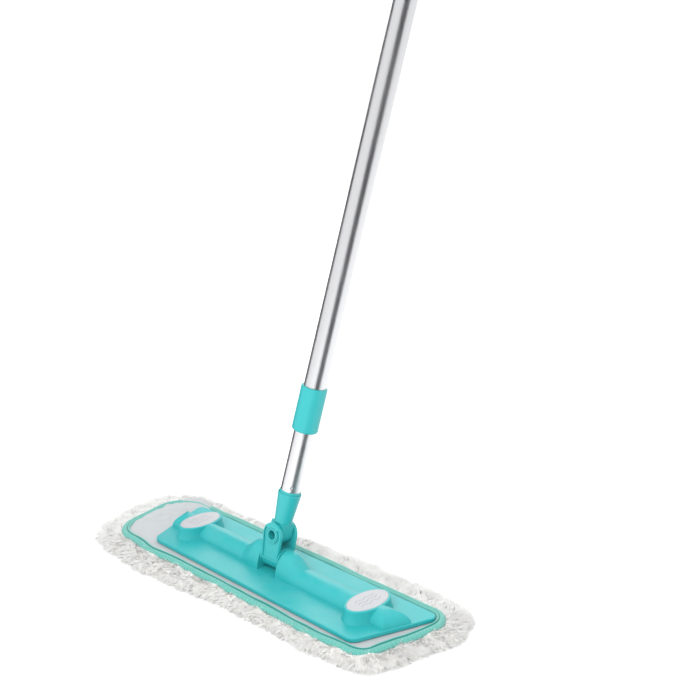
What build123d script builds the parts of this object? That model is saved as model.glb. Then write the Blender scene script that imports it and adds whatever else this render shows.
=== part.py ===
from build123d import *
import os
from math import cos, pi

# A flat mop: a washable pile pad, a trapezoid plate held on it by hook tape, and a
# telescopic handle on a two-axis joint. Millimetres, +Z up. The origin is on the floor
# under the middle of the plate. X runs along the plate and Y across it. The handle is
# modelled at its rest tilt.

# Rest pose of the handle
rest_tilt_across = 10.7   # yoke leans this far towards +Y about the pivot pin
rest_tilt_along = 7.8     # handle leans this far towards +X about the socket pin

# Clearances
running_gap = 0.05        # radial, shaft in bore
seat_gap = 0.1            # between pieces of one body that touch in life
body_gap = 0.3            # between pieces that move past each other
cheek_gap = 0.5           # each side of the yoke, between the cheeks

# Pad
pad_front_spare = 94.0      # pad longer than the plate, along the front edge
pad_rear_spare = 68.0       # and along the rear edge
pad_side_spare = 32.0       # pad wider than the plate
pad_corner_left = 42.0
pad_corner_right = 28.0
pad_shift_x = -20.0       # the pad is stuck on off centre
pad_shift_y = -1.0
pile_depth = 6.0
fringe_left = 34.0
fringe_right = 23.0
fringe_front = 24.0
fringe_rear = 34.0
fringe_top = 11.5
fringe_round = 8.0
foam_depth = 3.2
backing_thickness = 1.3
binding_width = 10.0
binding_overlap = 6.5     # how far the tape reaches in over the backing
binding_rise = 3.5        # tape above the backing
binding_round = 2.2

# Hook tape under the plate
hook_thickness = 2.0
hook_width = 27.0
hook_offset_y = 31.0
hook_margin = 2.3         # from the plate's edge

# Plate
plate_front_length = 334.0
plate_rear_length = 404.0
plate_width = 100.0
plate_corner_front = 13.0
plate_corner_rear = 8.0
skin_thickness = 3.2
lip_drop = 1.2
lip_width = 1.9
edge_round = 1.4
wall = 2.6
cross_rib_thickness = 2.0
cross_rib_pitch = 22.0

# Spine along the plate, over the trapezoid's centre of area
hinge_y = 1.5
spine_radius = 16.0
spine_sink = 1.5          # axis of the spine below the top of the plate
nose_length = 20.0        # rounded fall of the spine to the plate's end edge
nose_setback = 1.5        # from the end edge
nose_rise = 0.2           # the fall starts this far above the spine

# Hinge domes
cheek_half_gap = 15.2
dome_half_width = 18.0
dome_peak = 29.0
dome_face_height = 27.4
dome_peak_offset = 4.0    # from the cheek's face to the dome's highest section
dome_crest = 6.5          # length of the level crest
dome_fall = 25.0          # length of the fall to the spine
dome_steps = 5
dome_blend = 0.3          # the dome's last section sinks this far into the spine

# Badge pods
pod_centre_x = 141.4
pod_height = 14.5
pod_rim = 2.6             # width of the rim round the badge
pod_flare = 4.5           # at the foot
pod_flare_power = 2.5
pod_steps = 5
pod_edge_round = 1.2
badge_half_x = 16.0
badge_half_y = 28.0
badge_recess = 1.0
badge_thickness = 1.2
badge_round = 0.4

# Pivot pin through the cheeks
pivot_height = 14.5       # above the top of the plate
pin_radius = 3.0
pin_engagement = 8.5      # each end, past the cheek's face
pin_chamfer = 0.5
cheek_boss_radius = 6.0
cheek_boss_length = 5.0

# Pin keepers
keeper_thickness = 2.5
keeper_half_width = 6.5
keeper_length = 17.0
keeper_wall = 2.5
keeper_above_pin = 4.0
screw_radius = 1.5
screw_length = 11.0
screw_head_radius = 2.9
screw_head_height = 1.3
screw_slot_width = 0.8
screw_slot_depth = 0.6
post_radius = 4.2
post_offset = 12.5        # screw axis from the keeper's wall

# Yoke
yoke_reach = 28.0         # pivot pin to socket pin
barrel_radius = 12.5
flange_radius = 13.6
flange_thickness = 1.8
ear_half_width = 14.4
ear_foot_half_width = 12.4
ear_drop = 2.0            # the ears go on this far below the pivot pin's axis
ear_thickness = 4.0
ear_outer = 13.9          # outer face of an ear from the middle
ear_washer_radius = 9.4   # boss on the inner face
ear_washer_height = 1.0
ear_rim = 1.8
ear_panel_depth = 1.7
ear_panel_bottom = 0.5
ear_boss_radius = 9.8
ear_edge_round = 0.8

# Socket pin, hollow
socket_pin_radius = 6.6
socket_pin_wall = 1.1
pin_head_step = 1.1         # out from the pin
pin_head_thickness = 0.8
pin_head_gap = 0.5        # a shadow line round the head
cap_spigot_length = 3.0

# Socket
tongue_radius = 10.0
shoulder_gap = 0.8        # between the ears' round tops and the socket's shoulder
cone_root_radius = 10.3
cone_rim_lip = 2.0          # the rim stands this far out from the tube
cone_rim_at = 51.5
cone_rim_round = 1.2
spigot_end = 86.0
spigot_bore = 8.0
spigot_floor = 52.0
spigot_chamfer = 0.8

# Tubes
lower_tube_radius = 11.5
lower_tube_wall = 1.0
lower_tube_start = 42.6
lower_tube_length = 600.0
tube_step = 1.0             # upper tube's radius above the lower tube's
upper_tube_wall = 0.9
upper_tube_start = 150.0
upper_tube_length = 640.0
ferrule_start = 45.6
ferrule_end = 54.5
ferrule_step = 0.7          # out from the tube
ferrule_gap = 0.4         # open groove between the ferrule and the socket's rim
ferrule_round = 0.6
dimple_at = 60.5
dimple_radius = 3.0
dimple_depth = 0.45
dimple_count = 4

# Collar and guide bush at the mouth of the upper tube
collar_start = 126.5
collar_length = 52.0
collar_step = 2.4           # out from the upper tube
collar_bottom_round = 2.4
collar_top_round = 0.9
bush_start = 129.5
bush_wall = 1.4

# Twist lock inside the upper tube
plug_depth = 30.0
plug_flange = 2.4
spindle_radius = 4.0
spindle_length = 44.0
sleeve_base = 5.0
sleeve_length = 30.0
sleeve_slot = 2.0
sleeve_slots = 4
sleeve_slot_root = 1.0    # the slots stop this far short of the spindle and the base
sleeve_wall_top = 1.6
cone_length = 14.0
cone_taper = 2.4          # drop in radius over the cone's length
cone_recess = 1.0         # top of the cone below the top of the sleeve
cone_run_out = 1.0        # the sleeve's taper goes on this far below the cone
cone_key_width = 1.2
clip_radius = 6.5
clip_thickness = 1.5
clip_margin = 2.0         # clip below the end of the spindle
clip_groove = 1.0         # depth of its groove

# Grip and end cap
grip_length = 120.0
grip_step = 2.9             # out from the upper tube
grip_round = 2.0
grip_groove_radius = 0.9
grip_groove_pitch = 12.0
cap_plug_length = 20.0
cap_shoulder = 9.0
cap_shoulder_round = 3.5
eye_height = 22.0
eye_half_width = 11.0
eye_thickness = 8.0
eye_radius = 5.5

# Levels, from the floor up
foam_bottom = pile_depth
backing_bottom = foam_bottom + foam_depth
backing_top = backing_bottom + backing_thickness
binding_top = backing_top + binding_rise
hook_bottom = backing_top + body_gap
skin_bottom = hook_bottom + hook_thickness
lip_bottom = skin_bottom - lip_drop
plate_top = skin_bottom + skin_thickness
pivot_z = plate_top + pivot_height
spine_z = plate_top - spine_sink

# Sizes that follow from those above
pad_front_length = plate_front_length + pad_front_spare
pad_rear_length = plate_rear_length + pad_rear_spare
pad_width = plate_width + pad_side_spare
upper_tube_radius = lower_tube_radius + tube_step
ferrule_radius = lower_tube_radius + ferrule_step
cone_rim_radius = lower_tube_radius + cone_rim_lip
collar_radius = upper_tube_radius + collar_step
grip_radius = upper_tube_radius + grip_step
socket_pin_bore = socket_pin_radius - socket_pin_wall
pin_head_radius = socket_pin_radius + pin_head_step
shoulder_at = ear_half_width + shoulder_gap
tongue_half = ear_outer - ear_thickness - ear_washer_height - body_gap
pod_half_x = badge_half_x + pod_rim
pod_half_y = badge_half_y + pod_rim
lower_bore = lower_tube_radius - lower_tube_wall
upper_bore = upper_tube_radius - upper_tube_wall
lower_tube_end = lower_tube_start + lower_tube_length
upper_tube_end = upper_tube_start + upper_tube_length
yoke_half = cheek_half_gap - cheek_gap
tiny = 0.01
overshoot = 1.0           # a cutter runs this far past what it cuts

# Placements of the moving pieces at rest
on_hinge = Pos(0, hinge_y, 0)
yoke_place = on_hinge * Pos(0, 0, pivot_z) * Rot(X=-rest_tilt_across)
handle_place = yoke_place * Pos(0, 0, yoke_reach) * Rot(Y=rest_tilt_along)


def save(shape, name):
    export_step(shape, f"parts/{name}.step")


def along_x(radius, low, high):
    # A round bar along X between two stations, on the X axis.
    return Pos((low + high) / 2, 0, 0) * Rot(Y=90) * Cylinder(radius, high - low)


def along_y(radius, low, high):
    return Pos(0, (low + high) / 2, 0) * Rot(X=90) * Cylinder(radius, high - low)


def along_z(radius, low, high):
    return Pos(0, 0, (low + high) / 2) * Cylinder(radius, high - low)


def tube(outer, inner, low, high):
    return along_z(outer, low, high) - along_z(inner, low - tiny, high + tiny)


def block(x, y, z):
    # A box between three pairs of stations.
    size = (x[1] - x[0], y[1] - y[0], z[1] - z[0])
    centre = ((x[1] + x[0]) / 2, (y[1] + y[0]) / 2, (z[1] + z[0]) / 2)
    return Pos(*centre) * Box(*size)


def turned(points):
    # A solid of revolution about Z from (radius, height) points.
    outline = Polyline(*[(radius, 0, height) for radius, height in points], close=True)
    return revolve(make_face(outline), Axis.Z)


# ---- Pad ----

def trapezoid(front, rear, width, radii, centre):
    # Front edge at low Y. The radii are for the front-left, front-right, rear-right and
    # rear-left corners.
    half = width / 2
    points = [(-front / 2, -half), (front / 2, -half), (rear / 2, half), (-rear / 2, half)]
    outline = Polygon(*points, align=None)
    for point, radius in zip(points, radii):
        corner = outline.vertices().sort_by_distance((*point, 0))[0]
        outline = fillet(corner, radius)
    return Pos(*centre) * outline


def pad_outline(inset):
    left = pad_corner_left
    right = pad_corner_right
    outline = trapezoid(pad_front_length, pad_rear_length, pad_width, (left, right, right, left),
                        (pad_shift_x, pad_shift_y))
    if inset != 0:
        outline = offset(outline, -inset)
    return outline


def pad_layer(inset, low, high):
    return Pos(0, 0, low) * extrude(pad_outline(inset), high - low)


def make_pile():
    sides = fringe_left + fringe_right
    left = pad_corner_left + fringe_left
    right = pad_corner_right + fringe_right
    centre_x = pad_shift_x + (fringe_right - fringe_left) / 2
    centre_y = pad_shift_y + (fringe_rear - fringe_front) / 2
    outline = trapezoid(pad_front_length + sides, pad_rear_length + sides,
                        pad_width + fringe_front + fringe_rear, (left, right, right, left),
                        (centre_x, centre_y))
    body = extrude(outline, fringe_top)
    body = fillet(body.edges().group_by(Axis.Z)[-1], fringe_round)
    return body - pad_layer(-seat_gap, foam_bottom, fringe_top + tiny)


def make_foam():
    return pad_layer(binding_width - binding_overlap, foam_bottom, backing_bottom)


def make_backing():
    return pad_layer(binding_width - binding_overlap, backing_bottom, backing_top)


def make_binding():
    ring = pad_layer(0, foam_bottom, binding_top)
    ring -= pad_layer(binding_width, foam_bottom - tiny, binding_top + tiny)
    ring = fillet(ring.edges().group_by(Axis.Z)[-1], binding_round)
    seat = binding_width - binding_overlap - seat_gap
    return ring - pad_layer(seat, foam_bottom - tiny, backing_top)


# ---- Plate ----

def plate_outline(inset):
    front = plate_corner_front
    rear = plate_corner_rear
    outline = trapezoid(plate_front_length, plate_rear_length, plate_width, (front, front, rear, rear),
                        (0, 0))
    if inset > 0:
        outline = offset(outline, -inset)
    return outline


def end_slope():
    # How far the plate's right end edge leans out per unit of Y.
    return (plate_rear_length - plate_front_length) / (2 * plate_width)


def plate_half_length(y):
    # Half the plate's length on the line at this y.
    return plate_front_length / 2 + end_slope() * (y + plate_width / 2)


def half_ellipse(x, half_width, height):
    # An upright half ellipse across the plate, standing on its top.
    arch = EllipticalCenterArc((0, 0), half_width, height, start_angle=0, arc_size=180)
    face = make_face(arch + Line(arch @ 1, arch @ 0))
    return Plane(origin=(x, 0, spine_z), x_dir=(0, 1, 0), z_dir=(1, 0, 0)) * face


def dome(inset):
    # Sections from the cheek's face over a level crest and down an S-shaped fall.
    face_at = cheek_half_gap + inset
    crest_at = face_at + dome_peak_offset
    crest = dome_peak + spine_sink
    low = spine_radius - dome_blend
    sections = [
        half_ellipse(face_at, dome_half_width - inset, dome_face_height + spine_sink - inset),
        half_ellipse(crest_at, dome_half_width - inset, crest - inset),
        half_ellipse(crest_at + dome_crest / 2, dome_half_width - inset, crest - inset)]
    for step in range(dome_steps):
        part_way = step / (dome_steps - 1)
        fall = (1 + cos(pi * part_way)) / 2
        height = low + (crest - low) * fall
        half_width = low + (dome_half_width - low) * fall
        x = crest_at + dome_crest + dome_fall * part_way
        sections.append(half_ellipse(x, half_width - inset, height - inset))
    return loft(sections)


def spine(inset):
    # A round bar whose end falls in a quarter ellipse to the plate's end edge, square to
    # the bar in plan but for the edge's lean.
    start = cheek_half_gap + inset
    radius = spine_radius - inset
    far = plate_rear_length / 2
    bar = Pos(0, 0, spine_z) * along_x(radius, start, far)
    height = radius + nose_rise
    reach = nose_length - inset
    tip = plate_half_length(hinge_y) - nose_setback - inset
    arch = EllipticalCenterArc((tip - reach, 0), reach, height, start_angle=0, arc_size=90)
    rest = Polyline((tip - reach, height), (0, height), (0, -height), (tip, -height), (tip, 0))
    profile = make_face(arch + rest)
    half = plate_width / 2
    lean = end_slope() * half
    front = Plane(origin=(-lean, -half, spine_z), x_dir=(1, 0, 0), z_dir=(0, -1, 0)) * profile
    rear = Plane(origin=(lean, half, spine_z), x_dir=(1, 0, 0), z_dir=(0, -1, 0)) * profile
    return bar & loft([front, rear], ruled=True)


def pod(inset):
    # An oval tower that flares out in a hollow curve towards the plate.
    roof = plate_top + pod_height - inset
    sections = []
    for step in range(pod_steps):
        part_way = step / (pod_steps - 1)
        flare = pod_flare * (1 - part_way) ** pod_flare_power - inset
        height = skin_bottom + (roof - skin_bottom) * part_way
        sections.append(Pos(0, 0, height) * Ellipse(pod_half_x + flare, pod_half_y + flare))
    body = loft(sections)
    if inset == 0:
        body = fillet(body.edges().group_by(Axis.Z)[-1], pod_edge_round)
    return Pos(pod_centre_x, 0, 0) * body


def hump(inset):
    # The raised part of the right half: spine, hinge dome and badge pod.
    body = spine(inset) + dome(inset) + pod(inset)
    above = block((0, plate_rear_length), (-plate_width, plate_width), (skin_bottom, plate_top + plate_width))
    return body & above


def keeper_place():
    # The keeper's wall stands just past the end of the pivot pin.
    return cheek_half_gap + pin_engagement + seat_gap


def screw_x():
    return keeper_place() + post_offset


def half_plate_features():
    # What stands on the right half, and what is taken out of it from below.
    outer = hump(0)
    hollow = hump(wall)
    boss = Pos(0, 0, pivot_z) * along_x(cheek_boss_radius, cheek_half_gap, cheek_half_gap + cheek_boss_length)
    post_low = lip_bottom + keeper_thickness + seat_gap
    post = Pos(screw_x(), 0, 0) * along_z(post_radius, post_low, plate_top + dome_peak)
    ribs = Part()
    rib_x = keeper_place() + keeper_length + cross_rib_pitch
    while rib_x < pod_centre_x - pod_half_x:
        ribs += block((rib_x, rib_x + cross_rib_thickness), (-spine_radius, spine_radius),
                      (skin_bottom, pivot_z))
        rib_x += cross_rib_pitch
    hollow -= (boss + post + ribs) & outer
    skin = block((0, plate_rear_length), (-plate_width, plate_width), (skin_bottom, plate_top))
    opening = hollow + Pos(0, 0, -skin_thickness) * (hollow & skin)
    opening += Pos(0, 0, pivot_z) * along_x(pin_radius + running_gap, 0, pin_far())
    opening += Pos(screw_x(), 0, 0) * along_z(
        screw_radius + running_gap, lip_bottom, lip_bottom + screw_length + seat_gap)
    seat = extrude(Ellipse(badge_half_x + seat_gap, badge_half_y + seat_gap), badge_recess + overshoot)
    opening += Pos(pod_centre_x, 0, plate_top + pod_height - badge_recess) * seat
    return on_hinge * outer, on_hinge * opening


def make_plate():
    plate = Pos(0, 0, skin_bottom) * extrude(plate_outline(0), skin_thickness)
    lip = plate_outline(0) - plate_outline(lip_width)
    plate += Pos(0, 0, lip_bottom) * extrude(lip, lip_drop + tiny)
    plate = fillet(plate.edges().group_by(Axis.Z)[-1], edge_round)
    outer, opening = half_plate_features()
    plate += outer + mirror(outer, Plane.YZ)
    return plate - (opening + mirror(opening, Plane.YZ))


def make_badge(side):
    badge = extrude(Ellipse(badge_half_x, badge_half_y), badge_thickness)
    badge = fillet(badge.edges().group_by(Axis.Z)[-1], badge_round)
    return on_hinge * Pos(side * pod_centre_x, 0, plate_top + pod_height - badge_recess) * badge


def make_hook_strip(side):
    band = Pos(0, side * hook_offset_y) * Rectangle(plate_rear_length, hook_width)
    outline = band & plate_outline(hook_margin)
    return Pos(0, 0, hook_bottom) * extrude(outline, hook_thickness)


def pin_far():
    return cheek_half_gap + pin_engagement


def make_pivot_pin():
    pin = along_x(pin_radius, -pin_far(), pin_far())
    pin = chamfer(pin.edges().filter_by(GeomType.CIRCLE), pin_chamfer)
    return on_hinge * Pos(0, 0, pivot_z) * pin


def make_keeper(side):
    start = keeper_place()
    half = keeper_half_width
    foot = block((start, start + keeper_length), (-half, half), (lip_bottom, lip_bottom + keeper_thickness))
    stop = block((start, start + keeper_wall), (-half, half), (lip_bottom, pivot_z + keeper_above_pin))
    hole = along_z(screw_radius + running_gap, lip_bottom - overshoot, plate_top)
    recess_top = lip_bottom + screw_head_height + seat_gap
    recess = along_z(screw_head_radius + seat_gap, lip_bottom - overshoot, recess_top)
    keeper = on_hinge * (foot + stop - Pos(screw_x(), 0, 0) * (hole + recess))
    if side < 0:
        keeper = mirror(keeper, Plane.YZ)
    return keeper


def make_screw(side):
    head = along_z(screw_head_radius, lip_bottom, lip_bottom + screw_head_height)
    shank = along_z(screw_radius, lip_bottom, lip_bottom + screw_length)
    slot = block((-screw_head_radius, screw_head_radius), (-screw_slot_width / 2, screw_slot_width / 2),
                 (lip_bottom - overshoot, lip_bottom + screw_slot_depth))
    return on_hinge * Pos(side * screw_x(), 0, 0) * (head + shank - slot)


# ---- Yoke, in its own frame: pivot pin along X through the origin ----

def ear_outline(inset):
    half = ear_half_width - inset
    foot = ear_foot_half_width - inset
    sides = Polygon((-foot, -ear_drop), (foot, -ear_drop), (half, yoke_reach), (-half, yoke_reach),
                    align=None)
    return sides + Pos(0, yoke_reach) * Circle(half)


def upright(sketch, low, high):
    # A sketch in X and Z, extruded along Y between two stations.
    return Plane(origin=(0, low, 0), x_dir=(1, 0, 0), z_dir=(0, -1, 0)) * extrude(sketch, -(high - low))


def make_ear(side):
    inner = ear_outer - ear_thickness
    ear = upright(ear_outline(0), inner, ear_outer)
    ear = fillet(ear.edges().group_by(Axis.Y)[-1], ear_edge_round)
    panel = ear_outline(ear_rim) - Pos(0, yoke_reach) * Circle(ear_boss_radius)
    panel_top = yoke_reach + ear_half_width / 2
    keep = Rectangle(2 * ear_half_width, panel_top - ear_panel_bottom)
    keep = Pos(0, (ear_panel_bottom + panel_top) / 2) * keep
    ear -= upright(panel & keep, ear_outer - ear_panel_depth, ear_outer + overshoot)
    ear += Pos(0, 0, yoke_reach) * along_y(ear_washer_radius, inner - ear_washer_height, inner + tiny)
    ear -= Pos(0, 0, yoke_reach) * along_y(
        pin_head_radius + pin_head_gap, ear_outer - pin_head_thickness, ear_outer + overshoot)
    if side < 0:
        ear = mirror(ear, Plane.XZ)
    return ear


def make_yoke():
    barrel = along_x(barrel_radius, -yoke_half, yoke_half)
    barrel += along_x(flange_radius, -yoke_half, -yoke_half + flange_thickness)
    barrel += along_x(flange_radius, yoke_half - flange_thickness, yoke_half)
    web_half = ear_outer - ear_thickness
    web = block((-ear_foot_half_width, ear_foot_half_width), (-web_half, web_half), (0, barrel_radius))
    yoke = barrel + web + make_ear(1) + make_ear(-1)
    yoke -= along_x(pin_radius + running_gap, -cheek_half_gap, cheek_half_gap)
    far = ear_outer + overshoot
    yoke -= Pos(0, 0, yoke_reach) * along_y(socket_pin_radius + tiny, -far, far)
    return yoke_place * yoke


def make_socket_pin():
    # Hollow, its head in the front ear.
    head = along_y(pin_head_radius, -ear_outer, -ear_outer + pin_head_thickness)
    shank = along_y(socket_pin_radius, -ear_outer, ear_outer - pin_head_thickness)
    bore = along_y(socket_pin_bore, -ear_outer - overshoot, ear_outer + overshoot)
    return yoke_place * Pos(0, 0, yoke_reach) * (head + shank - bore)


def make_pin_cap():
    head = along_y(pin_head_radius, ear_outer - pin_head_thickness, ear_outer)
    spigot = along_y(socket_pin_bore - tiny, ear_outer - pin_head_thickness - cap_spigot_length, ear_outer)
    return yoke_place * Pos(0, 0, yoke_reach) * (head + spigot)


# ---- Handle, in its own frame: socket pin along Y through the origin, tubes along +Z ----

def make_socket():
    tongue = along_y(tongue_radius, -tongue_half, tongue_half)
    neck = block((-cone_root_radius, cone_root_radius), (-tongue_half, tongue_half), (0, shoulder_at + tiny))
    rim_low = cone_rim_at - cone_rim_round
    rim_in = cone_rim_radius - cone_rim_round / 2
    ferrule_bore = ferrule_radius + ferrule_gap
    tube_seat = lower_tube_radius + running_gap
    spigot_radius = lower_bore - running_gap
    cone = turned([
        (0, shoulder_at), (cone_root_radius, shoulder_at),
        (cone_rim_radius, rim_low), (cone_rim_radius, cone_rim_at - cone_rim_round / 2),
        (rim_in, cone_rim_at), (ferrule_bore, cone_rim_at),
        (ferrule_bore, ferrule_start - seat_gap), (tube_seat, ferrule_start - seat_gap),
        (tube_seat, lower_tube_start - seat_gap), (spigot_radius, lower_tube_start - seat_gap),
        (spigot_radius, spigot_end - spigot_chamfer), (spigot_radius - spigot_chamfer, spigot_end),
        (spigot_bore, spigot_end), (spigot_bore, spigot_floor), (0, spigot_floor)])
    socket = tongue + neck + cone
    socket -= along_y(socket_pin_radius + running_gap, -ear_outer, ear_outer)
    return handle_place * socket


def make_ferrule():
    ring = tube(ferrule_radius, lower_tube_radius + running_gap, ferrule_start, ferrule_end)
    outer_top = ring.edges().group_by(Axis.Z)[-1].sort_by(SortBy.RADIUS)[-1]
    return handle_place * fillet(outer_top, ferrule_round)


def make_lower_tube():
    pole = tube(lower_tube_radius, lower_bore, lower_tube_start, lower_tube_end)
    for number in range(dimple_count):
        angle = (number + 0.5) * 360 / dimple_count
        ball_at = lower_tube_radius + dimple_radius - dimple_depth
        pole -= Rot(Z=angle) * Pos(ball_at, 0, dimple_at) * Sphere(dimple_radius)
    return handle_place * pole


def make_upper_tube():
    return handle_place * tube(upper_tube_radius, upper_bore, upper_tube_start, upper_tube_end)


def make_collar():
    top = collar_start + collar_length
    collar = along_z(collar_radius, collar_start, top)
    collar = fillet(collar.edges().group_by(Axis.Z)[0], collar_bottom_round)
    collar = fillet(collar.edges().group_by(Axis.Z)[-1], collar_top_round)
    collar -= along_z(lower_tube_radius + body_gap, collar_start - overshoot, top + overshoot)
    collar -= along_z(bush_outer() + seat_gap, bush_start - seat_gap, upper_tube_start)
    collar -= along_z(upper_tube_radius + running_gap, upper_tube_start - seat_gap, top + overshoot)
    return handle_place * collar


def bush_outer():
    return lower_tube_radius + running_gap + bush_wall


def make_guide_bush():
    ring = tube(bush_outer(), lower_tube_radius + running_gap, bush_start, upper_tube_start - seat_gap)
    return handle_place * ring


def make_expander_plug():
    # Pressed into the end of the lower tube, with the spindle standing on it.
    flange_low = lower_tube_end + seat_gap
    body = along_z(lower_bore - running_gap, lower_tube_end - plug_depth, flange_low + tiny)
    body += along_z(lower_tube_radius, flange_low, flange_low + plug_flange)
    body += along_z(spindle_radius, flange_low, spindle_end())
    groove = tube(spindle_radius + overshoot, spindle_radius - clip_groove, clip_low(),
                  clip_low() + clip_thickness + 2 * tiny)
    return handle_place * (body - groove)


def flange_top():
    return lower_tube_end + seat_gap + plug_flange


def spindle_end():
    return flange_top() + spindle_length


def clip_low():
    return spindle_end() - clip_margin - clip_thickness


def sleeve_low():
    return flange_top() + body_gap


def cone_top():
    return sleeve_low() + sleeve_length - cone_recess


def cone_top_radius():
    return upper_bore - 2 * running_gap - sleeve_wall_top


def make_expander_sleeve():
    # A split sleeve that the cone spreads against the bore of the upper tube.
    low = sleeve_low()
    top = low + sleeve_length
    outer = upper_bore - 2 * running_gap
    taper = cone_taper / cone_length
    mouth = cone_top_radius() + body_gap + taper * cone_recess
    throat_at = cone_top() - cone_length - cone_run_out
    throat = mouth - taper * (top - throat_at)
    sleeve = turned([
        (spindle_radius + running_gap, low), (outer, low), (outer, top), (mouth, top),
        (throat, throat_at), (throat, low + sleeve_base), (spindle_radius + running_gap, low + sleeve_base)])
    for number in range(sleeve_slots):
        slot = block((spindle_radius + sleeve_slot_root, outer + overshoot),
                     (-sleeve_slot / 2, sleeve_slot / 2),
                     (low + sleeve_base + sleeve_slot_root, top + overshoot))
        sleeve -= Rot(Z=number * 360 / sleeve_slots) * slot
    return handle_place * sleeve


def make_expander_cone():
    # The nut on the spindle. Its keys run in the sleeve's slots.
    top = cone_top()
    low = top - cone_length
    cone = turned([
        (spindle_radius + running_gap, low), (cone_top_radius() - cone_taper, low),
        (cone_top_radius(), top), (spindle_radius + running_gap, top)])
    reach = upper_bore - body_gap - 2 * running_gap
    for number in range(sleeve_slots):
        key = block((cone_top_radius() - cone_taper - overshoot, reach),
                    (-cone_key_width / 2, cone_key_width / 2), (low + cone_recess, top))
        cone += Rot(Z=number * 360 / sleeve_slots) * key
    return handle_place * cone


def make_spindle_clip():
    root = spindle_radius - clip_groove
    ring = tube(clip_radius, root + tiny, clip_low() + tiny, clip_low() + clip_thickness)
    mouth = block((0, clip_radius + overshoot), (-root, root), (clip_low() - overshoot, spindle_end()))
    return handle_place * (ring - mouth)


def make_grip():
    low = upper_tube_end - grip_length
    grip = along_z(grip_radius, low, upper_tube_end)
    grip = fillet(grip.edges().filter_by(GeomType.CIRCLE), grip_round)
    grip -= along_z(upper_tube_radius + running_gap, low - overshoot, upper_tube_end + overshoot)
    groove_at = low + grip_groove_pitch
    while groove_at < upper_tube_end - grip_groove_pitch / 2:
        grip -= Pos(0, 0, groove_at) * Torus(grip_radius, grip_groove_radius)
        groove_at += grip_groove_pitch
    return handle_place * grip


def make_end_cap():
    # A plug and shoulder, with a flat eye on top to hang the mop by.
    low = upper_tube_end + seat_gap
    plug = along_z(upper_bore - running_gap, upper_tube_end - cap_plug_length, low + tiny)
    shoulder = along_z(grip_radius, low, low + cap_shoulder)
    shoulder = fillet(shoulder.edges().group_by(Axis.Z)[-1], cap_shoulder_round)
    eye_at = eye_centre()
    outline = Pos(0, (low + cap_shoulder / 2 + eye_at) / 2) * Rectangle(
        2 * eye_half_width, eye_at - low - cap_shoulder / 2)
    outline += Pos(0, eye_at) * Circle(eye_half_width)
    eye = upright(outline, -eye_thickness / 2, eye_thickness / 2)
    eye -= Pos(0, 0, eye_at) * along_y(eye_radius, -eye_thickness, eye_thickness)
    return handle_place * (plug + shoulder + eye)


def eye_centre():
    return upper_tube_end + seat_gap + cap_shoulder + eye_height - eye_half_width


# ---- Files ----

os.makedirs("parts", exist_ok=True)

save(make_pile(), "pad_pile")
save(make_foam(), "pad_foam")
save(make_backing(), "pad_backing")
save(make_binding(), "pad_binding")

save(make_plate(), "mop_plate")
save(make_badge(-1), "badge_left")
save(make_badge(1), "badge_right")
save(make_hook_strip(-1), "hook_strip_front")
save(make_hook_strip(1), "hook_strip_rear")
save(make_pivot_pin(), "pivot_pin")
save(make_keeper(-1), "pin_keeper_left")
save(make_keeper(1), "pin_keeper_right")
save(Compound(children=[make_screw(-1), make_screw(1)]), "keeper_screws")

save(make_yoke(), "yoke")
save(make_socket_pin(), "socket_pin")
save(make_pin_cap(), "socket_pin_cap")

save(make_socket(), "handle_socket")
save(make_ferrule(), "ferrule")
save(make_lower_tube(), "lower_tube")
save(make_expander_plug(), "expander_plug")
save(make_spindle_clip(), "spindle_clip")
save(make_expander_sleeve(), "expander_sleeve")
save(make_expander_cone(), "expander_cone")

save(make_upper_tube(), "upper_tube")
save(make_guide_bush(), "guide_bush")
save(make_collar(), "tube_collar")
save(make_grip(), "grip")
save(make_end_cap(), "end_cap")
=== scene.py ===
import bpy
import math
import numpy as np
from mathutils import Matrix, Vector, kdtree


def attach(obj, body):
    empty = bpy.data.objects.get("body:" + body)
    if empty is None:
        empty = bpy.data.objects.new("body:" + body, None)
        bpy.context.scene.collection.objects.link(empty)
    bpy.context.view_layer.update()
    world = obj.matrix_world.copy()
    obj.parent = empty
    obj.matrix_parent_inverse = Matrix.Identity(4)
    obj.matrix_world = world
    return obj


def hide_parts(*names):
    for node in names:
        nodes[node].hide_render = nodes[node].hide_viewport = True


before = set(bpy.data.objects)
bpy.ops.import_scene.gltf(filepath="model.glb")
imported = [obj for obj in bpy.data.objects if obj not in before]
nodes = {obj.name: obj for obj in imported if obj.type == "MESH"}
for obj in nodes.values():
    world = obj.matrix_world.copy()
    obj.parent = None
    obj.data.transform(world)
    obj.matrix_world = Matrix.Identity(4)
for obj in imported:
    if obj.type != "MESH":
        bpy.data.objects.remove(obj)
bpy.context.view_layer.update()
print("frame loaded:", len(nodes), "nodes")


camera = {
    "place": (0.8241, -0.7346, 0.5898),
    "yaw": -44.39,      # degrees, from +Y towards +X
    "pitch": 15.42,     # degrees down
    "lens": 55.68,
    "sensor": 36.0,
}

studio = {
    "worldStrength": 1.07,
    "keyPower": 22,
    "backPower": 26,        # the big panel behind, which the upper faces mirror
    "keyPlace": (0.55, -1.25, 1.4), "keySize": (1.0, 1.0), "keyTarget": (0, 0, 0.05),
    "backPlace": (-1.9, 2.0, 1.75), "backSize": (3.2, 1.9), "backTarget": (0, 0, 0.1),
    "floorTone": 0.985,
    "floorHalf": 30.0,
    "cardLift": 0.002,
    # dark cards that only gloss sees, for the bands along the tube: side from the camera's
    # line and half width in degrees, start and end along the floor, height at the end
    "cards": [(27, 25, 0.14, 0.8, 1.2), (-138, 26, 0.3, 0.8, 1.2)],
}


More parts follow.
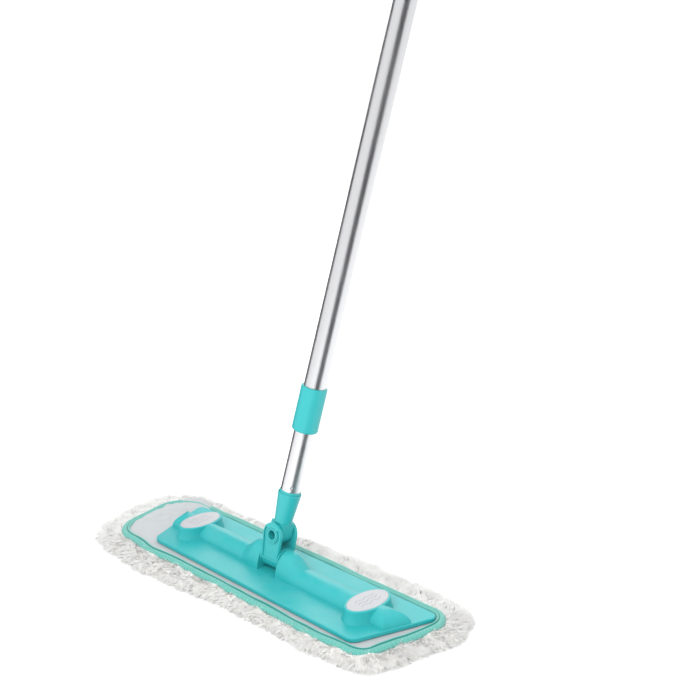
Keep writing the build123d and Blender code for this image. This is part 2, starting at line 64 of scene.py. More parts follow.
def buildCamera():
    yaw, pitch = math.radians(camera["yaw"]), math.radians(camera["pitch"])
    ahead = Vector((math.sin(yaw) * math.cos(pitch), math.cos(yaw) * math.cos(pitch), -math.sin(pitch)))
    data = bpy.data.cameras.new("mopCamera")
    data.lens = camera["lens"]
    data.sensor_width = camera["sensor"]
    data.clip_start = 0.01
    eye = bpy.data.objects.new("mopCamera", data)
    eye.location = camera["place"]
    eye.rotation_mode = "QUATERNION"
    eye.rotation_quaternion = ahead.to_track_quat("-Z", "Y")
    bpy.context.scene.collection.objects.link(eye)
    bpy.context.scene.camera = eye


def areaLight(name, place, target, size, power):
    data = bpy.data.lights.new(name, "AREA")
    data.shape = "RECTANGLE"
    data.size, data.size_y = size
    data.energy = power
    lamp = bpy.data.objects.new(name, data)
    lamp.location = place
    lamp.rotation_mode = "QUATERNION"
    lamp.rotation_quaternion = (Vector(target) - Vector(place)).to_track_quat("-Z", "Y")
    bpy.context.scene.collection.objects.link(lamp)
    return lamp


def addNode(tree, kind, inputs=None, **settings):
    # inputs may be plain values or sockets of other nodes
    made = tree.nodes.new(kind)
    for key, value in settings.items():
        setattr(made, key, value)
    for key, value in (inputs or {}).items():
        if isinstance(value, bpy.types.NodeSocket):
            tree.links.new(value, made.inputs[key])
        else:
            made.inputs[key].default_value = value
    return made


def calc(tree, operation, first, second=0.0, third=0.0):
    made = addNode(tree, "ShaderNodeMath", {0: first, 1: second, 2: third}, operation=operation)
    return made.outputs[0]


def fadeBetween(tree, value, low, high, outLow=0.0, outHigh=1.0):
    made = addNode(tree, "ShaderNodeMapRange", {
        "Value": value, "From Min": low, "From Max": high, "To Min": outLow, "To Max": outHigh},
        interpolation_type="SMOOTHSTEP")
    return made.outputs["Result"]


def mixTones(tree, share, first, second):
    made = addNode(tree, "ShaderNodeMix", data_type="RGBA")
    for key, value in ((0, share), (6, first), (7, second)):
        if isinstance(value, bpy.types.NodeSocket):
            tree.links.new(value, made.inputs[key])
        elif key == 0:
            made.inputs[key].default_value = value
        else:
            made.inputs[key].default_value = (*value, 1)
    return made.outputs[2]


def newGroup(name, inputs, outputs):
    # inputs and outputs are (name, socket type, first value) and (name, socket type)
    group = bpy.data.node_groups.new(name, "ShaderNodeTree")
    for label, kind, value in inputs:
        socket = group.interface.new_socket(name=label, in_out="INPUT", socket_type=kind)
        if value is not None:
            socket.default_value = value
    for label, kind in outputs:
        group.interface.new_socket(name=label, in_out="OUTPUT", socket_type=kind)
    return group, group.nodes.new("NodeGroupInput"), group.nodes.new("NodeGroupOutput")


def placeGroup(tree, group, inputs):
    made = tree.nodes.new("ShaderNodeGroup")
    made.node_tree = group
    for key, value in inputs.items():
        if isinstance(value, bpy.types.NodeSocket):
            tree.links.new(value, made.inputs[key])
        else:
            made.inputs[key].default_value = value
    return made


def newMaterial(name, **plain):
    made = bpy.data.materials.new(name)
    made.use_nodes = True
    tree = made.node_tree
    shader = tree.nodes["Principled BSDF"]
    for label, value in plain.items():
        shader.inputs[label.replace("_", " ")].default_value = value
    return made, tree, shader


def objectPlace(tree):
    return addNode(tree, "ShaderNodeTexCoord").outputs["Object"]


def buildGrainGroup():
    # the fine spark-eroded grain of a mould, with slow waves of tone from the flow
    group, given, made = newGroup("mouldGrain", [
        ("Place", "NodeSocketVector", None), ("Grain Size", "NodeSocketFloat", 0.0006),
        ("Flow Size", "NodeSocketFloat", 0.05)],
        [("Height", "NodeSocketFloat"), ("Tone", "NodeSocketFloat")])
    fine = calc(group, "DIVIDE", 1.0, given.outputs["Grain Size"])
    slow = calc(group, "DIVIDE", 1.0, given.outputs["Flow Size"])
    grain = addNode(group, "ShaderNodeTexNoise", {
        "Vector": given.outputs["Place"], "Scale": fine, "Detail": 2.0, "Roughness": 0.6})
    flow = addNode(group, "ShaderNodeTexNoise", {
        "Vector": given.outputs["Place"], "Scale": slow, "Detail": 3.0, "Roughness": 0.5})
    group.links.new(grain.outputs[0], made.inputs["Height"])
    group.links.new(flow.outputs[0], made.inputs["Tone"])
    return group


def buildEdgeGroup():
    # 1 on outer edges, broken up by noise, 0 on flat faces
    group, given, made = newGroup("edgeWear", [
        ("Place", "NodeSocketVector", None), ("Width", "NodeSocketFloat", 0.0008),
        ("Amount", "NodeSocketFloat", 0.5)],
        [("Mask", "NodeSocketFloat")])
    rounded = addNode(group, "ShaderNodeBevel", {"Radius": given.outputs["Width"]}, samples=4)
    flat = addNode(group, "ShaderNodeNewGeometry")
    match = addNode(group, "ShaderNodeVectorMath", {
        0: rounded.outputs[0], 1: flat.outputs["Normal"]}, operation="DOT_PRODUCT")
    bent = fadeBetween(group, calc(group, "SUBTRACT", 1.0, match.outputs["Value"]), 0.02, 0.28)
    patchy = addNode(group, "ShaderNodeTexNoise", {
        "Vector": given.outputs["Place"], "Scale": 90.0, "Detail": 4.0})
    broken = fadeBetween(group, patchy.outputs[0], 0.35, 0.7)
    mask = calc(group, "MULTIPLY", calc(group, "MULTIPLY", bent, broken), given.outputs["Amount"])
    group.links.new(mask, made.inputs["Mask"])
    return group


def buildDustGroup():
    # specks and a thin film of dust on faces that look up
    group, given, made = newGroup("dust", [
        ("Place", "NodeSocketVector", None), ("Amount", "NodeSocketFloat", 0.1)],
        [("Mask", "NodeSocketFloat")])
    facing = addNode(group, "ShaderNodeSeparateXYZ", {
        0: addNode(group, "ShaderNodeNewGeometry").outputs["Normal"]})
    up = fadeBetween(group, facing.outputs["Z"], 0.1, 1.0)
    cloud = addNode(group, "ShaderNodeTexNoise", {
        "Vector": given.outputs["Place"], "Scale": 26.0, "Detail": 6.0, "Roughness": 0.7})
    film = fadeBetween(group, cloud.outputs[0], 0.4, 0.8)
    mask = calc(group, "MULTIPLY", calc(group, "MULTIPLY", up, film), given.outputs["Amount"])
    group.links.new(mask, made.inputs["Mask"])
    return group


def buildKnitGroup():
    # rows of small loops, as in a knitted cloth; Course and Wale are the two pitches in metres
    group, given, made = newGroup("knit", [
        ("Place", "NodeSocketVector", None), ("Course", "NodeSocketFloat", 0.0012),
        ("Wale", "NodeSocketFloat", 0.0016)],
        [("Height", "NodeSocketFloat"), ("Tone", "NodeSocketFloat")])
    wobble = addNode(group, "ShaderNodeTexNoise", {
        "Vector": given.outputs["Place"], "Scale": 260.0, "Detail": 1.0})
    jitter = calc(group, "MULTIPLY", calc(group, "SUBTRACT", wobble.outputs[0], 0.5), 0.0009)
    parts = addNode(group, "ShaderNodeSeparateXYZ", {0: given.outputs["Place"]})
    across = calc(group, "DIVIDE", calc(group, "ADD", parts.outputs["X"], jitter), given.outputs["Wale"])
    along = calc(group, "DIVIDE", calc(group, "ADD", parts.outputs["Y"], jitter), given.outputs["Course"])
    turn = 2 * math.pi
    rib = calc(group, "SINE", calc(group, "MULTIPLY", across, turn))
    shifted = calc(group, "ADD", along, calc(group, "MULTIPLY", rib, 0.22))
    loop = calc(group, "SINE", calc(group, "MULTIPLY", shifted, turn))
    height = calc(group, "ADD", calc(group, "MULTIPLY", rib, 0.3), calc(group, "MULTIPLY", loop, 0.3))
    cloud = addNode(group, "ShaderNodeTexNoise", {
        "Vector": given.outputs["Place"], "Scale": 45.0, "Detail": 5.0, "Roughness": 0.6})
    group.links.new(calc(group, "ADD", height, 0.5), made.inputs["Height"])
    group.links.new(cloud.outputs[0], made.inputs["Tone"])
    return group


grainGroup = buildGrainGroup()
edgeGroup = buildEdgeGroup()
dustGroup = buildDustGroup()
knitGroup = buildKnitGroup()


plasticLook = {
    "aqua": (0.022, 0.385, 0.398),
    "aquaThin": (0.065, 0.46, 0.47),    # worn edges look paler
    "roughness": 0.38,
    "grainDepth": 0.00003,
    "edgeSoftness": 0.0005,
}


def mouldedPlastic(name, colour, paleColour, roughness, wear, dustiness):
    made, tree, shader = newMaterial(name, Roughness=roughness)
    place = objectPlace(tree)
    grain = placeGroup(tree, grainGroup, {"Place": place, "Grain Size": 0.0007, "Flow Size": 0.06})
    edges = placeGroup(tree, edgeGroup, {"Place": place, "Width": 0.0009, "Amount": wear})
    dust = placeGroup(tree, dustGroup, {"Place": place, "Amount": dustiness})
    deeper = tuple(channel * 0.93 for channel in colour)
    base = mixTones(tree, grain.outputs["Tone"], deeper, colour)
    base = mixTones(tree, edges.outputs["Mask"], base, paleColour)
    base = mixTones(tree, dust.outputs["Mask"], base, (0.75, 0.76, 0.74))
    tree.links.new(base, shader.inputs["Base Color"])
    varied = fadeBetween(tree, grain.outputs["Tone"], 0.2, 0.8, roughness - 0.04, roughness + 0.05)
    rough = calc(tree, "ADD", varied, calc(tree, "MULTIPLY", dust.outputs["Mask"], 0.3))
    tree.links.new(rough, shader.inputs["Roughness"])
    soft = addNode(tree, "ShaderNodeBevel", {"Radius": plasticLook["edgeSoftness"]}, samples=6)
    bump = addNode(tree, "ShaderNodeBump", {
        "Height": grain.outputs["Height"], "Strength": 0.35, "Distance": plasticLook["grainDepth"],
        "Normal": soft.outputs[0]})
    tree.links.new(bump.outputs[0], shader.inputs["Normal"])
    return made


badgeLook = {
    "white": (0.41, 0.42, 0.445),
    "line": (0.20, 0.21, 0.24),
    "centre": (0.1414, 0.0015),
    "pitch": 0.0052,
    "swing": 0.0012,
    "waveLength": 0.013,
    "halfSpan": 0.0150,
    "softEnd": 0.0004,
}


def rippleBadge():
    # white plastic, printed with three plain ripples
    made = mouldedPlastic("badgePlastic", badgeLook["white"], (0.86, 0.86, 0.87), 0.34, 0.2, 0.08)
    tree = made.node_tree
    shader = tree.nodes["Principled BSDF"]
    parts = addNode(tree, "ShaderNodeSeparateXYZ", {0: objectPlace(tree)})
    x = calc(tree, "SUBTRACT", calc(tree, "ABSOLUTE", parts.outputs["X"]), badgeLook["centre"][0])
    y = calc(tree, "SUBTRACT", parts.outputs["Y"], badgeLook["centre"][1])
    wave = calc(tree, "SINE", calc(tree, "MULTIPLY", y, 2 * math.pi / badgeLook["waveLength"]))
    swing = calc(tree, "MULTIPLY", wave, badgeLook["swing"])
    row = calc(tree, "DIVIDE", calc(tree, "ADD", x, swing), badgeLook["pitch"])
    away = calc(tree, "ABSOLUTE", calc(tree, "SUBTRACT", row, calc(tree, "ROUND", row)))
    line = fadeBetween(tree, away, 0.05, 0.09, 1.0, 0.0)
    inside = fadeBetween(tree, calc(tree, "ABSOLUTE", row), 1.3, 1.35, 1.0, 0.0)
    end = badgeLook["halfSpan"]
    span = fadeBetween(tree, calc(tree, "ABSOLUTE", y), end, end + badgeLook["softEnd"], 1.0, 0.0)
    mask = calc(tree, "MULTIPLY", calc(tree, "MULTIPLY", line, inside), span)
    under = shader.inputs["Base Color"].links[0].from_socket
    tree.links.new(mixTones(tree, mask, under, badgeLook["line"]), shader.inputs["Base Color"])
    return made


tubeLook = {
    "colour": (0.71, 0.715, 0.73),
    "roughness": (0.30, 0.37),  # clean and smudged
    "lean": (-10.7, 7.8),       # degrees about X, then about the tilted Y
}


def satinAluminium():
    # drawn tube: very long fine streaks along the handle
    made, tree, shader = newMaterial("satinAluminium", Metallic=1.0)
    turn = addNode(tree, "ShaderNodeMapping", {
        "Vector": objectPlace(tree),
        "Rotation": (math.radians(-tubeLook["lean"][0]), math.radians(-tubeLook["lean"][1]), 0.0),
        "Scale": (900.0, 900.0, 2.5)}, vector_type="POINT")
    streaks = addNode(tree, "ShaderNodeTexNoise", {"Vector": turn.outputs[0], "Scale": 1.0, "Detail": 3.0})
    smudge = addNode(tree, "ShaderNodeTexNoise", {"Vector": objectPlace(tree), "Scale": 14.0, "Detail": 4.0})
    dark = tuple(channel * 0.94 for channel in tubeLook["colour"])
    tree.links.new(mixTones(tree, streaks.outputs[0], dark, tubeLook["colour"]), shader.inputs["Base Color"])
    rough = calc(tree, "ADD", fadeBetween(tree, streaks.outputs[0], 0.3, 0.7, -0.02, 0.03),
                 fadeBetween(tree, smudge.outputs[0], 0.3, 0.75, *tubeLook["roughness"]))
    tree.links.new(rough, shader.inputs["Roughness"])
    bump = addNode(tree, "ShaderNodeBump", {
        "Height": streaks.outputs[0], "Strength": 0.12, "Distance": 0.00002})
    tree.links.new(bump.outputs[0], shader.inputs["Normal"])
    return made


def plainSteel():
    made, tree, shader = newMaterial("zincSteel", Metallic=1.0)
    marks = addNode(tree, "ShaderNodeTexNoise", {"Vector": objectPlace(tree), "Scale": 700.0, "Detail": 4.0})
    tree.links.new(mixTones(tree, marks.outputs[0], (0.45, 0.45, 0.46), (0.66, 0.66, 0.67)),
                   shader.inputs["Base Color"])
    tree.links.new(fadeBetween(tree, marks.outputs[0], 0.2, 0.8, 0.28, 0.5), shader.inputs["Roughness"])
    return made


def hookTapeMaterial():
    # rows of tiny hooks, painted paler on the hook tops and darker in the gaps between them, as painted
    # shade
    made, tree, shader = newMaterial("hookTape", Roughness=0.7)
    cells = addNode(tree, "ShaderNodeTexVoronoi", {
        "Vector": objectPlace(tree), "Scale": 900.0, "Randomness": 0.35})
    tone = fadeBetween(tree, cells.outputs["Distance"], 0.1, 0.6)
    tree.links.new(mixTones(tree, tone, (0.10, 0.13, 0.14), (0.018, 0.024, 0.028)),
                   shader.inputs["Base Color"])
    bump = addNode(tree, "ShaderNodeBump", {
        "Height": cells.outputs["Distance"], "Strength": 0.9, "Distance": -0.0006})
    tree.links.new(bump.outputs[0], shader.inputs["Normal"])
    return made


pileLook = {
    # the tip tone is the white of the pile; the two beige tones below it are painted shade deep in the pile
    "tip": (0.80, 0.80, 0.79),
    "root": (0.77, 0.755, 0.71),
    "lightRootShade": (0.80, 0.795, 0.78),
}


def pileMaterial(name, rootLift=0.0):
    # the strandTip attribute runs from 0 at a strand's root to 1 at its tip; towards the root the strands
    # are painted a darker beige, painted shade deep in the pile, mottled by noise patches of painted shade
    # between the tufts
    made, tree, shader = newMaterial(name, Roughness=0.9)
    shader.inputs["Sheen Weight"].default_value = 0.3
    shader.inputs["Sheen Roughness"].default_value = 0.6
    shader.inputs["Specular IOR Level"].default_value = 0.15
    place = objectPlace(tree)
    height = addNode(tree, "ShaderNodeAttribute", attribute_name="strandTip").outputs["Fac"]
    patch = addNode(tree, "ShaderNodeTexNoise", {
        "Vector": place, "Scale": 60.0, "Detail": 5.0, "Roughness": 0.65})
    lift = fadeBetween(tree, calc(tree, "ADD", height, rootLift), 0.0, 0.55)
    rootShadeTone = mixTones(tree, fadeBetween(tree, patch.outputs[0], 0.35, 0.7),
                     pileLook["root"], pileLook["lightRootShade"])
    tree.links.new(mixTones(tree, lift, rootShadeTone, pileLook["tip"]), shader.inputs["Base Color"])
    return made


def backingMaterial():
    made, tree, shader = newMaterial("backingKnit", Roughness=0.85)
    shader.inputs["Sheen Weight"].default_value = 0.25
    place = objectPlace(tree)
    knit = placeGroup(tree, knitGroup, {"Place": place, "Course": 0.0013, "Wale": 0.0011})
    tree.links.new(mixTones(tree, knit.outputs["Tone"], (0.38, 0.40, 0.415), (0.45, 0.47, 0.485)),
                   shader.inputs["Base Color"])
    bump = addNode(tree, "ShaderNodeBump", {
        "Height": knit.outputs["Height"], "Strength": 0.35, "Distance": 0.00025})
    tree.links.new(bump.outputs[0], shader.inputs["Normal"])
    return made


tapeLook = {
    "colour": (0.050, 0.33, 0.285),
    # the pale tone goes on the rib crests and the colour tone in their grooves, as painted shade
    "pale": (0.165, 0.47, 0.415),
    # painted shade: the dark tone of a line along the crease of the tape's fold
    "fold": (0.008, 0.22, 0.19),
    "ribPitch": 0.0021,
    "foldAt": 0.0062,       # along the tape's section from its inner edge
    "foldHalfWidth": 0.0007,
}


def tapeMaterial():
    made, tree, shader = newMaterial("ribbedTape", Roughness=0.6)
    shader.inputs["Sheen Weight"].default_value = 0.3
    unrolled = addNode(tree, "ShaderNodeUVMap", uv_map="tape")
    along = addNode(tree, "ShaderNodeSeparateXYZ", {0: unrolled.outputs[0]})
    place = objectPlace(tree)
    drift = addNode(tree, "ShaderNodeTexNoise", {"Vector": place, "Scale": 120.0, "Detail": 2.0})
    u = calc(tree, "ADD", along.outputs["X"], calc(tree, "MULTIPLY", drift.outputs[0], 0.0012))
    rib = calc(tree, "SINE", calc(tree, "MULTIPLY", u, 2 * math.pi / tapeLook["ribPitch"]))
    # a dark line is painted along the crease of the fold, as painted shade
    fold = calc(tree, "ABSOLUTE", calc(tree, "SUBTRACT", along.outputs["Y"], tapeLook["foldAt"]))
    foldShadeMask = fadeBetween(tree, fold, tapeLook["foldHalfWidth"], tapeLook["foldHalfWidth"] * 2.4, 1.0, 0.0)
    fuzz = addNode(tree, "ShaderNodeTexNoise", {"Vector": place, "Scale": 700.0, "Detail": 3.0})
    # the ribs are painted paler on their crests and darker in their grooves, as painted shade; the fuzz
    # noise adds random tone
    tone = calc(tree, "ADD", fadeBetween(tree, rib, -1.0, 1.0, 0.0, 0.55),
                fadeBetween(tree, fuzz.outputs[0], 0.3, 0.7, 0.0, 0.4))
    base = mixTones(tree, tone, tapeLook["colour"], tapeLook["pale"])
    tree.links.new(mixTones(tree, foldShadeMask, base, tapeLook["fold"]), shader.inputs["Base Color"])
    height = calc(tree, "ADD", calc(tree, "MULTIPLY", rib, 0.35), fuzz.outputs[0])
    bump = addNode(tree, "ShaderNodeBump", {"Height": height, "Strength": 0.5, "Distance": 0.0003})
    tree.links.new(bump.outputs[0], shader.inputs["Normal"])
    return made


def waddingMaterial():
    made, tree, shader = newMaterial("wadding", Roughness=0.95)
    cloud = addNode(tree, "ShaderNodeTexNoise", {"Vector": objectPlace(tree), "Scale": 150.0, "Detail": 6.0})
    tree.links.new(mixTones(tree, cloud.outputs[0], (0.66, 0.66, 0.63), (0.86, 0.86, 0.84)),
                   shader.inputs["Base Color"])
    bump = addNode(tree, "ShaderNodeBump", {"Height": cloud.outputs[0], "Strength": 0.8, "Distance": 0.001})
    tree.links.new(bump.outputs[0], shader.inputs["Normal"])
    return made


def floorMaterial():
    made, tree, shader = newMaterial("paleFloor", Roughness=0.75)
    tone = studio["floorTone"]
    cloud = addNode(tree, "ShaderNodeTexNoise", {"Vector": objectPlace(tree), "Scale": 3.0, "Detail": 2.0})
    tree.links.new(mixTones(tree, cloud.outputs[0], (tone - 0.01,) * 3, (tone + 0.01,) * 3),
                   shader.inputs["Base Color"])
    shader.inputs["Specular IOR Level"].default_value = 0.2
    return made


def cardMaterial():
    made, shader = newMaterial("darkCard", Roughness=1.0)[::2]
    shader.inputs["Base Color"].default_value = (0.05, 0.05, 0.055, 1)
    shader.inputs["Specular IOR Level"].default_value = 0.0
    return made


def evenly(points, count):
    # the same closed loop with its points evenly spaced
    closed = np.vstack([points, points[:1]])
    steps = np.concatenate([[0], np.cumsum(np.linalg.norm(np.diff(closed, axis=0), axis=1))])
    wanted = np.linspace(0, steps[-1], count, endpoint=False)
    return np.stack([np.interp(wanted, steps, closed[:, axis]) for axis in range(2)], axis=1)


def trapezoidLoop(front, rear, width, centre, radii, count):
    # corners run front left, front right, rear right, rear left
    half = width / 2
    corners = np.array([(-front / 2, -half), (front / 2, -half), (rear / 2, half), (-rear / 2, half)])
    dense = []
    for index, radius in enumerate(radii):
        before = corners[index - 1] - corners[index]
        after = corners[(index + 1) % 4] - corners[index]
        before, after = before / np.linalg.norm(before), after / np.linalg.norm(after)
        halfAngle = math.acos(before @ after) / 2
        inward = (before + after) / np.linalg.norm(before + after)
        middle = corners[index] + inward * radius / math.sin(halfAngle)
        spokes = [before * radius / math.tan(halfAngle) + corners[index] - middle,
                  after * radius / math.tan(halfAngle) + corners[index] - middle]
        first, last = (math.atan2(spoke[1], spoke[0]) for spoke in spokes)
        sweep = (last - first + math.pi) % (2 * math.pi) - math.pi
        for share in np.linspace(0, 1, 30):
            angle = first + sweep * share
            dense.append(middle + radius * np.array((math.cos(angle), math.sin(angle))))
    return evenly(np.array(dense) + np.array(centre), count)


def outward(loop):
    # unit normals of a closed loop that runs anticlockwise
    along = np.roll(loop, -1, axis=0) - np.roll(loop, 1, axis=0)
    along /= np.linalg.norm(along, axis=1)[:, None]
    return np.stack([along[:, 1], -along[:, 0]], axis=1)


def ripple(turns, waves, seed):
    # a smooth random wave round a loop, about -1 to 1; turns runs from 0 to 1
    dice = np.random.default_rng(seed)
    total = np.zeros_like(turns)
    for count in waves:
        total = total + dice.uniform(0.4, 1) * np.sin(2 * math.pi * (count * turns + dice.uniform()))
    return total / math.sqrt(len(waves))


def lumps(x, y, size, seed):
    # smooth random hills about size across, about -1 to 1
    dice = np.random.default_rng(seed)
    total = np.zeros_like(x)
    for angle in dice.uniform(0, math.pi, 9):
        length = size * dice.uniform(0.7, 1.7)
        total = total + np.sin(2 * math.pi * (x * math.cos(angle) + y * math.sin(angle)) / length
                               + dice.uniform(0, 2 * math.pi))
    return total / 3


def fade(value, low, high):
    share = np.clip((value - low) / (high - low), 0, 1)
    return share * share * (3 - 2 * share)


def gridFaces(rows, columns, wrapRows, wrapColumns):
    row = np.arange(rows if wrapRows else rows - 1)
    column = np.arange(columns if wrapColumns else columns - 1)
    row, column = np.meshgrid(row, column, indexing="ij")
    nextRow, nextColumn = (row + 1) % rows, (column + 1) % columns
    quads = [row * columns + column, nextRow * columns + column,
             nextRow * columns + nextColumn, row * columns + nextColumn]
    return np.stack(quads, axis=-1).reshape(-1, 4)


def newPiece(name, points, faces, material, body):
    mesh = bpy.data.meshes.new(name)
    mesh.from_pydata(np.asarray(points).reshape(-1, 3).tolist(), [], [list(face) for face in faces])
    mesh.validate()
    mesh.shade_smooth()
    mesh.materials.append(material)
    piece = bpy.data.objects.new(name, mesh)
    bpy.context.scene.collection.objects.link(piece)
    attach(piece, body)
    return piece


def giveAttribute(piece, name, values):
    layer = piece.data.attributes.new(name, "FLOAT", "POINT")
    layer.data.foreach_set("value", np.asarray(values, np.float32).ravel())


pad = {
    "front": 0.428, "rear": 0.472, "width": 0.132,
    "centre": (-0.020, -0.001),
    "radii": (0.042, 0.028, 0.028, 0.042),
    # where the front edge is pulled out or in: x, how far, how wide
    "frontBends": [(-0.150, 0.0045, 0.030), (0.174, -0.0045, 0.034)],
    "wander": 0.0007,       # how far the sewn edge strays
}


def padLoop(count):
    loop = trapezoidLoop(pad["front"], pad["rear"], pad["width"], pad["centre"], pad["radii"], count)
    turns = np.arange(count) / count
    push = pad["wander"] * ripple(turns, (5, 9, 14, 23), 11)
    for x, far, wide in pad["frontBends"]:
        push += far * np.exp(-((loop[:, 0] - x) / wide) ** 2) * fade(loop[:, 1], 0.0, -0.02)
    return loop + outward(loop) * push[:, None]


tape = {
    "count": 1500,
    # section from the inner edge over the roll, the fold and the outer band, and back underneath;
    # out from the pad's edge and up from the floor, in millimetres
    "section": [(-9.9, 10.6), (-10.5, 11.5), (-10.2, 12.8), (-9.2, 13.7), (-8.0, 13.8), (-7.1, 13.3),
                (-6.6, 12.4), (-6.1, 13.0), (-5.0, 13.6), (-3.4, 13.4), (-1.9, 12.6), (-0.7, 11.4),
                (0.0, 10.0), (-0.2, 8.6), (-1.4, 7.4), (-4.0, 6.9), (-7.5, 7.6)],
    "bandFrom": 8, "bandTo": 14,        # points of the section that carry the ribs
    "ribPitch": 0.0038,
    "ribDepth": 0.00032,
    "rise": 0.0005,
}


def buildTape():
    loop = padLoop(tape["count"])
    normals = outward(loop)
    turns = np.arange(tape["count"]) / tape["count"]
    around = np.linalg.norm(np.diff(np.vstack([loop, loop[:1]]), axis=0), axis=1)
    length = np.concatenate([[0], np.cumsum(around)[:-1]])
    section = np.array(tape["section"]) / 1000
    out = np.tile(section[:, 0], (tape["count"], 1))
    up = np.tile(section[:, 1], (tape["count"], 1))
    ribCount = round(around.sum() / tape["ribPitch"])
    ribs = np.sin(2 * math.pi * ribCount * length / around.sum() + 2.5 * ripple(turns, (11, 17, 31, 47), 5))
    band = slice(tape["bandFrom"], tape["bandTo"])
    deeper = np.linspace(0.2, 1.5, tape["bandTo"] - tape["bandFrom"])
    out[:, band] += tape["ribDepth"] * ribs[:, None] * deeper
    up[:, band] += tape["ribDepth"] * 0.5 * ribs[:, None]
    up += (tape["rise"] * ripple(turns, (4, 7, 13), 3))[:, None]
    out[:, :7] += (0.0006 * ripple(turns, (6, 11, 19, 31), 8))[:, None]
    x, y = loop[:, 0:1] + normals[:, 0:1] * out, loop[:, 1:2] + normals[:, 1:2] * out
    points = np.stack([x, y, up], axis=-1)
    columns = len(section)
    faces = gridFaces(tape["count"], columns, True, True)[:, ::-1]
    piece = newPiece("bindingTape", points, faces, tapeMaterial(), "pad")
    acrossSteps = np.concatenate([[0], np.cumsum(np.linalg.norm(np.diff(section, axis=0), axis=1))])
    index = np.array([loopItem.vertex_index for loopItem in piece.data.loops])
    layer = piece.data.uv_layers.new(name="tape")
    along, across = length[index // columns], acrossSteps[index % columns]
    # the faces that close the loop would otherwise run back to the start
    along = along.reshape(-1, 4)
    fallsBack = along.max(axis=1, keepdims=True) - along > length[-1] / 2
    along = np.where(fallsBack, along + around.sum(), along).ravel()
    coordinates = np.stack([along, across], axis=1)
    layer.data.foreach_set("uv", coordinates.astype(np.float32).ravel())
    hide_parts("pad_binding")
    print("binding tape made")
    return piece


backing = {
    "rows": 420, "columns": 40,
    "inset": 0.0045,
    "level": 0.0106,
    "bulge": (-0.232, 0.012, 0.030, 0.052, 0.0032),     # the slack pocket: x, y, half sizes, height
    "crease": 0.0007,
    "fold": (-0.224, 0.066, 0.032),     # here the cloth lies over the tape: x, y, reach
    "foldOut": 0.0105,
    "foldRise": 0.0041,
}


def buildBacking():
    loop = padLoop(backing["rows"])
    normals = outward(loop)
    x, y, reach = backing["fold"]
    over = np.exp(-(np.hypot(loop[:, 0] - x, (loop[:, 1] - y) * 1.4) / reach) ** 4)
    edge = loop - normals * (backing["inset"] - backing["foldOut"] * over)[:, None]
    low, high = pad["centre"][0] - pad["front"] / 2 + 0.06, pad["centre"][0] + pad["front"] / 2 - 0.06
    spine = np.stack([np.clip(edge[:, 0], low, high), np.zeros(len(edge))], axis=1)
    share = np.linspace(1, 0, backing["columns"]) ** 0.8
    flat = spine[:, None] + (edge - spine)[:, None] * share[None, :, None]
    gx, gy = flat[..., 0], flat[..., 1]
    level = np.full_like(gx, backing["level"])
    level += 0.0002 * lumps(gx, gy, 0.03, 21)
    bx, by, rx, ry, rise = backing["bulge"]
    hill = np.exp(-((gx - bx) / rx) ** 2 - ((gy - by) / ry) ** 4)
    level += hill * (rise + backing["crease"] * lumps(gx, gy * 0.35, 0.022, 23)
                     + 0.0005 * lumps(gx, gy, 0.012, 27))
    toEdge = (1 - share)[None, :] * np.linalg.norm(edge - spine, axis=1)[:, None]
    lift = over[:, None] * fade(toEdge, 0.030, 0.006)
    level = np.maximum(level, backing["level"] + lift * backing["foldRise"])
    tuck = fade(toEdge, 0.0045, 0.0)
    level -= tuck * (0.0012 * (1 - over[:, None]) + 0.0035 * over[:, None])
    points = np.stack([gx, gy, level], axis=-1)
    faces = gridFaces(backing["rows"], backing["columns"], True, False)
    piece = newPiece("padBacking", points, faces[:, ::-1], backingMaterial(), "pad")
    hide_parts("pad_backing")
    print("backing made")
    return piece


wadding = {"inset": 0.006, "low": 0.0062, "high": 0.0090, "rows": 300}


def buildWadding():
    loop = padLoop(wadding["rows"])
    normals = outward(loop)
    low, high = wadding["low"], wadding["high"]
    middle = (low + high) / 2
    section = [(-0.004, low), (-0.001, low + 0.0003), (0.0, middle), (-0.001, high - 0.0003), (-0.004, high)]
    rings = []
    for out, up in section:
        edge = loop + normals * (out - wadding["inset"])
        rings.append(np.column_stack([edge, np.full(len(edge), up)]))
    ringArray = np.stack(rings, axis=1)
    ringArray[..., 2] += 0.0002 * lumps(ringArray[..., 0], ringArray[..., 1], 0.02, 31)
    columns = len(section)
    faces = [list(face) for face in gridFaces(wadding["rows"], columns, True, False)]
    faces.append([row * columns for row in range(wadding["rows"])][::-1])
    faces.append([row * columns + columns - 1 for row in range(wadding["rows"])])
    piece = newPiece("padWadding", ringArray, faces, waddingMaterial(), "pad")
    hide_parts("pad_foam")
    print("wadding made")
    return piece


